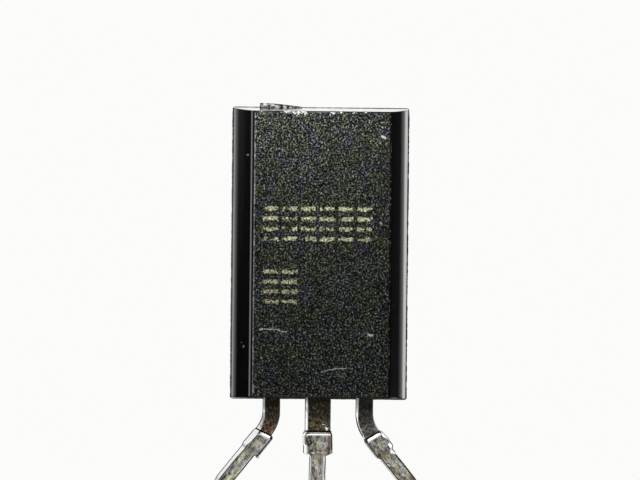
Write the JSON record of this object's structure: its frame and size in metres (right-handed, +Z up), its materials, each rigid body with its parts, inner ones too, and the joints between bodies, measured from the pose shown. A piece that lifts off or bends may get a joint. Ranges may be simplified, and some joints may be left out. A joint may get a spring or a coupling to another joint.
{
  "type": "to-92 transistor",
  "caption": "Transistor in a black moulded D-shaped body with a flat front, on tinned flat leads whose outer pair is formed outwards for a board.",
  "frame": {"origin": "on the middle lead's centre line, level with the top of the board that the leads are soldered into", "axes": "+Z up along the body, away from the board; -Y out of the flat face; +X from the emitter's lead to the base's, to the right when the flat face is looked at"},
  "size_m": [0.0058, 0.0038, 0.0221],
  "materials": {
    "epoxy": "black moulded epoxy, spark-eroded flat, smooth sides",
    "tinned_lead": "tin-plated copper alloy, dull and mottled",
    "silicon": "polished",
    "solder": "satin",
    "gold": "bright wire"
  },
  "bodies": {
    "root": {"body": "epoxy", "lead_emitter": "tinned_lead", "lead_collector": "tinned_lead", "lead_base": "tinned_lead", "die": "silicon", "die_attach": "solder", "bond_wire_emitter": "gold", "bond_wire_base": "gold"}
  },
  "joints": []
}
